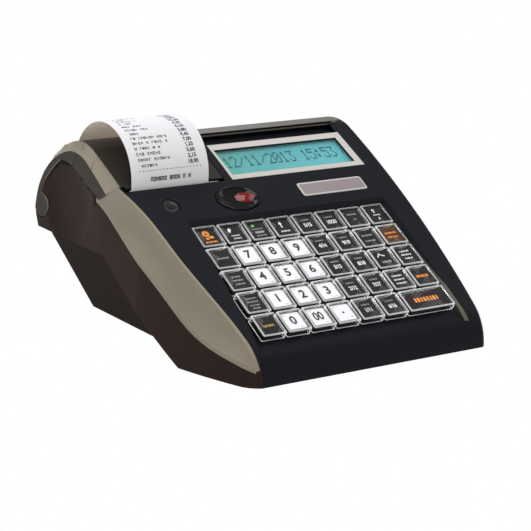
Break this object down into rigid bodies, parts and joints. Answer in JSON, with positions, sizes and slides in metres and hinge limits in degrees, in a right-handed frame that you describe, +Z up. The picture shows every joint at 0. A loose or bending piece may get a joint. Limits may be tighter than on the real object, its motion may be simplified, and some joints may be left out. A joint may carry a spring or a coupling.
{
  "type": "ticket register",
  "caption": "Compact cash register with a sloping keyboard, a tilted two-line display, a customer display, a built-in receipt printer under a hinged lid and a rear connector bay.",
  "frame": {"origin": "on the table below the middle of the machine", "axes": "+Z up, +Y away from the operator, +X to the operator's right"},
  "size_m": [0.208, 0.216, 0.1347],
  "materials": {
    "base_plastic": "fine textured",
    "case_plastic": "fine textured",
    "cheek_plastic": "fine textured",
    "trim_plastic": "satin",
    "silver_plastic": "satin",
    "pane": "clear",
    "display_board": "glossy",
    "circuit_board": "solder resist",
    "frame_plastic": "moulded",
    "motor_steel": "brushed",
    "bar_steel": "bright",
    "foot_rubber": "matt",
    "screw_steel": "zinc plated",
    "lid_plastic": "satin",
    "rim_plastic": "satin",
    "paper": "uncoated paper",
    "roll_paper": "uncoated paper",
    "button_plastic": "satin",
    "platen_rubber": "ground",
    "gear_plastic": "moulded",
    "pinion_brass": "machined",
    "key_light": "clear cap over a white label",
    "key_dark": "clear cap over a black label"
  },
  "bodies": {
    "case": {"bottom_case": "base_plastic", "upper_case": "case_plastic", "side_panel": "cheek_plastic", "case_trim": "trim_plastic", "display_bezel": "silver_plastic", "display_windows": "pane", "lcd_modules": "display_board", "circuit_boards": "circuit_board", "printer_frame": "frame_plastic", "drive_motor": "motor_steel", "tear_bar": "bar_steel", "rubber_feet": "foot_rubber", "screws_and_pins": "screw_steel"},
    "lid": {"lid_shell": "lid_plastic", "lid_trim": "rim_plastic", "receipt_strip": "paper"},
    "lid_button": {"lid_button": "button_plastic"},
    "platen": {"platen_roller": "platen_rubber"},
    "reduction": {"reduction_gear": "gear_plastic"},
    "pinion": {"motor_pinion": "pinion_brass"},
    "roll": {"paper_roll": "roll_paper"},
    "key_r1c1": {"key_r1c1": "key_dark"},
    "key_r1c2": {"key_r1c2": "key_dark"},
    "key_r1c3": {"key_r1c3": "key_dark"},
    "key_r1c4": {"key_r1c4": "key_dark"},
    "key_r1c5": {"key_r1c5": "key_dark"},
    "key_r1c6": {"key_r1c6": "key_dark"},
    "key_r1c7": {"key_r1c7": "key_dark"},
    "key_r1c8": {"key_r1c8": "key_dark"},
    "key_r2c1": {"key_r2c1": "key_dark"},
    "key_r2c2": {"key_r2c2": "key_light"},
    "key_r2c3": {"key_r2c3": "key_light"},
    "key_r2c4": {"key_r2c4": "key_light"},
    "key_r2c5": {"key_r2c5": "key_dark"},
    "key_r2c6": {"key_r2c6": "key_dark"},
    "key_r2c7": {"key_r2c7": "key_dark"},
    "key_r2c8": {"key_r2c8": "key_dark"},
    "key_r3c1": {"key_r3c1": "key_dark"},
    "key_r3c2": {"key_r3c2": "key_light"},
    "key_r3c3": {"key_r3c3": "key_light"},
    "key_r3c4": {"key_r3c4": "key_light"},
    "key_r3c5": {"key_r3c5": "key_dark"},
    "key_r3c6": {"key_r3c6": "key_dark"},
    "key_r3c7": {"key_r3c7": "key_dark"},
    "key_r3c8": {"key_r3c8": "key_dark"},
    "key_r4c1": {"key_r4c1": "key_dark"},
    "key_r4c2": {"key_r4c2": "key_light"},
    "key_r4c3": {"key_r4c3": "key_light"},
    "key_r4c4": {"key_r4c4": "key_light"},
    "key_r4c5": {"key_r4c5": "key_dark"},
    "key_r4c6": {"key_r4c6": "key_dark"},
    "key_r4c7": {"key_r4c7": "key_dark"},
    "key_r4c8": {"key_r4c8": "key_dark"},
    "key_r5c1": {"key_r5c1": "key_dark"},
    "key_r5c2": {"key_r5c2": "key_light"},
    "key_r5c3": {"key_r5c3": "key_light"},
    "key_r5c4": {"key_r5c4": "key_light"},
    "key_r5c5": {"key_r5c5": "key_dark"},
    "key_r5c6": {"key_r5c6": "key_dark"},
    "key_r5c7": {"key_r5c7": "key_dark"}
  },
  "joints": [
    {"name": "lid_hinge", "type": "hinge", "parent": "case", "child": "lid", "pos_m": [-0.062, 0.101, 0.069], "axis": [-1, 0, 0], "range_deg": [0, 75]},
    {"name": "lid_button_press", "type": "slide", "parent": "case", "child": "lid_button", "axis": [0, 0.5, -0.866], "range_m": [0, 0.002], "stiffness_N_per_m": 350},
    {"name": "platen_spin", "type": "hinge", "parent": "lid", "child": "platen", "pos_m": [-0.0665, 0.0175, 0.0905], "axis": [1, 0, 0], "continuous": true},
    {"name": "reduction_spin", "type": "hinge", "parent": "case", "child": "reduction", "pos_m": [-0.0315, 0.0135, 0.0749], "axis": [1, 0, 0], "continuous": true},
    {"name": "pinion_spin", "type": "hinge", "parent": "case", "child": "pinion", "pos_m": [-0.0315, 0.0271, 0.0699], "axis": [1, 0, 0], "continuous": true},
    {"name": "roll_spin", "type": "hinge", "parent": "case", "child": "roll", "pos_m": [-0.0665, 0.066, 0.0795], "axis": [1, 0, 0], "continuous": true},
    {"name": "key_r1c1_press", "type": "slide", "parent": "case", "child": "key_r1c1", "axis": [0, 0.5, -0.866], "range_m": [0, 0.0025], "stiffness_N_per_m": 240},
    {"name": "key_r1c2_press", "type": "slide", "parent": "case", "child": "key_r1c2", "axis": [0, 0.5, -0.866], "range_m": [0, 0.0025], "stiffness_N_per_m": 240},
    {"name": "key_r1c3_press", "type": "slide", "parent": "case", "child": "key_r1c3", "axis": [0, 0.5, -0.866], "range_m": [0, 0.0025], "stiffness_N_per_m": 240},
    {"name": "key_r1c4_press", "type": "slide", "parent": "case", "child": "key_r1c4", "axis": [0, 0.5, -0.866], "range_m": [0, 0.0025], "stiffness_N_per_m": 240},
    {"name": "key_r1c5_press", "type": "slide", "parent": "case", "child": "key_r1c5", "axis": [0, 0.5, -0.866], "range_m": [0, 0.0025], "stiffness_N_per_m": 240},
    {"name": "key_r1c6_press", "type": "slide", "parent": "case", "child": "key_r1c6", "axis": [0, 0.5, -0.866], "range_m": [0, 0.0025], "stiffness_N_per_m": 240},
    {"name": "key_r1c7_press", "type": "slide", "parent": "case", "child": "key_r1c7", "axis": [0, 0.5, -0.866], "range_m": [0, 0.0025], "stiffness_N_per_m": 240},
    {"name": "key_r1c8_press", "type": "slide", "parent": "case", "child": "key_r1c8", "axis": [0, 0.5, -0.866], "range_m": [0, 0.0025], "stiffness_N_per_m": 240},
    {"name": "key_r2c1_press", "type": "slide", "parent": "case", "child": "key_r2c1", "axis": [0, 0.5, -0.866], "range_m": [0, 0.0025], "stiffness_N_per_m": 240},
    {"name": "key_r2c2_press", "type": "slide", "parent": "case", "child": "key_r2c2", "axis": [0, 0.5, -0.866], "range_m": [0, 0.0025], "stiffness_N_per_m": 240},
    {"name": "key_r2c3_press", "type": "slide", "parent": "case", "child": "key_r2c3", "axis": [0, 0.5, -0.866], "range_m": [0, 0.0025], "stiffness_N_per_m": 240},
    {"name": "key_r2c4_press", "type": "slide", "parent": "case", "child": "key_r2c4", "axis": [0, 0.5, -0.866], "range_m": [0, 0.0025], "stiffness_N_per_m": 240},
    {"name": "key_r2c5_press", "type": "slide", "parent": "case", "child": "key_r2c5", "axis": [0, 0.5, -0.866], "range_m": [0, 0.0025], "stiffness_N_per_m": 240},
    {"name": "key_r2c6_press", "type": "slide", "parent": "case", "child": "key_r2c6", "axis": [0, 0.5, -0.866], "range_m": [0, 0.0025], "stiffness_N_per_m": 240},
    {"name": "key_r2c7_press", "type": "slide", "parent": "case", "child": "key_r2c7", "axis": [0, 0.5, -0.866], "range_m": [0, 0.0025], "stiffness_N_per_m": 240},
    {"name": "key_r2c8_press", "type": "slide", "parent": "case", "child": "key_r2c8", "axis": [0, 0.5, -0.866], "range_m": [0, 0.0025], "stiffness_N_per_m": 240},
    {"name": "key_r3c1_press", "type": "slide", "parent": "case", "child": "key_r3c1", "axis": [0, 0.5, -0.866], "range_m": [0, 0.0025], "stiffness_N_per_m": 240},
    {"name": "key_r3c2_press", "type": "slide", "parent": "case", "child": "key_r3c2", "axis": [0, 0.5, -0.866], "range_m": [0, 0.0025], "stiffness_N_per_m": 240},
    {"name": "key_r3c3_press", "type": "slide", "parent": "case", "child": "key_r3c3", "axis": [0, 0.5, -0.866], "range_m": [0, 0.0025], "stiffness_N_per_m": 240},
    {"name": "key_r3c4_press", "type": "slide", "parent": "case", "child": "key_r3c4", "axis": [0, 0.5, -0.866], "range_m": [0, 0.0025], "stiffness_N_per_m": 240},
    {"name": "key_r3c5_press", "type": "slide", "parent": "case", "child": "key_r3c5", "axis": [0, 0.5, -0.866], "range_m": [0, 0.0025], "stiffness_N_per_m": 240},
    {"name": "key_r3c6_press", "type": "slide", "parent": "case", "child": "key_r3c6", "axis": [0, 0.5, -0.866], "range_m": [0, 0.0025], "stiffness_N_per_m": 240},
    {"name": "key_r3c7_press", "type": "slide", "parent": "case", "child": "key_r3c7", "axis": [0, 0.5, -0.866], "range_m": [0, 0.0025], "stiffness_N_per_m": 240},
    {"name": "key_r3c8_press", "type": "slide", "parent": "case", "child": "key_r3c8", "axis": [0, 0.5, -0.866], "range_m": [0, 0.0025], "stiffness_N_per_m": 240},
    {"name": "key_r4c1_press", "type": "slide", "parent": "case", "child": "key_r4c1", "axis": [0, 0.5, -0.866], "range_m": [0, 0.0025], "stiffness_N_per_m": 240},
    {"name": "key_r4c2_press", "type": "slide", "parent": "case", "child": "key_r4c2", "axis": [0, 0.5, -0.866], "range_m": [0, 0.0025], "stiffness_N_per_m": 240},
    {"name": "key_r4c3_press", "type": "slide", "parent": "case", "child": "key_r4c3", "axis": [0, 0.5, -0.866], "range_m": [0, 0.0025], "stiffness_N_per_m": 240},
    {"name": "key_r4c4_press", "type": "slide", "parent": "case", "child": "key_r4c4", "axis": [0, 0.5, -0.866], "range_m": [0, 0.0025], "stiffness_N_per_m": 240},
    {"name": "key_r4c5_press", "type": "slide", "parent": "case", "child": "key_r4c5", "axis": [0, 0.5, -0.866], "range_m": [0, 0.0025], "stiffness_N_per_m": 240},
    {"name": "key_r4c6_press", "type": "slide", "parent": "case", "child": "key_r4c6", "axis": [0, 0.5, -0.866], "range_m": [0, 0.0025], "stiffness_N_per_m": 240},
    {"name": "key_r4c7_press", "type": "slide", "parent": "case", "child": "key_r4c7", "axis": [0, 0.5, -0.866], "range_m": [0, 0.0025], "stiffness_N_per_m": 240},
    {"name": "key_r4c8_press", "type": "slide", "parent": "case", "child": "key_r4c8", "axis": [0, 0.5, -0.866], "range_m": [0, 0.0025], "stiffness_N_per_m": 240},
    {"name": "key_r5c1_press", "type": "slide", "parent": "case", "child": "key_r5c1", "axis": [0, 0.5, -0.866], "range_m": [0, 0.0025], "stiffness_N_per_m": 240},
    {"name": "key_r5c2_press", "type": "slide", "parent": "case", "child": "key_r5c2", "axis": [0, 0.5, -0.866], "range_m": [0, 0.0025], "stiffness_N_per_m": 240},
    {"name": "key_r5c3_press", "type": "slide", "parent": "case", "child": "key_r5c3", "axis": [0, 0.5, -0.866], "range_m": [0, 0.0025], "stiffness_N_per_m": 240},
    {"name": "key_r5c4_press", "type": "slide", "parent": "case", "child": "key_r5c4", "axis": [0, 0.5, -0.866], "range_m": [0, 0.0025], "stiffness_N_per_m": 240},
    {"name": "key_r5c5_press", "type": "slide", "parent": "case", "child": "key_r5c5", "axis": [0, 0.5, -0.866], "range_m": [0, 0.0025], "stiffness_N_per_m": 240},
    {"name": "key_r5c6_press", "type": "slide", "parent": "case", "child": "key_r5c6", "axis": [0, 0.5, -0.866], "range_m": [0, 0.0025], "stiffness_N_per_m": 240},
    {"name": "key_r5c7_press", "type": "slide", "parent": "case", "child": "key_r5c7", "axis": [0, 0.5, -0.866], "range_m": [0, 0.0025], "stiffness_N_per_m": 300}
  ],
  "couplings": [
    {"joint": "reduction_spin", "follows": "platen_spin", "ratio": -0.66667},
    {"joint": "pinion_spin", "follows": "platen_spin", "ratio": 1.3333},
    {"joint": "roll_spin", "follows": "platen_spin", "ratio": 0.24}
  ]
}
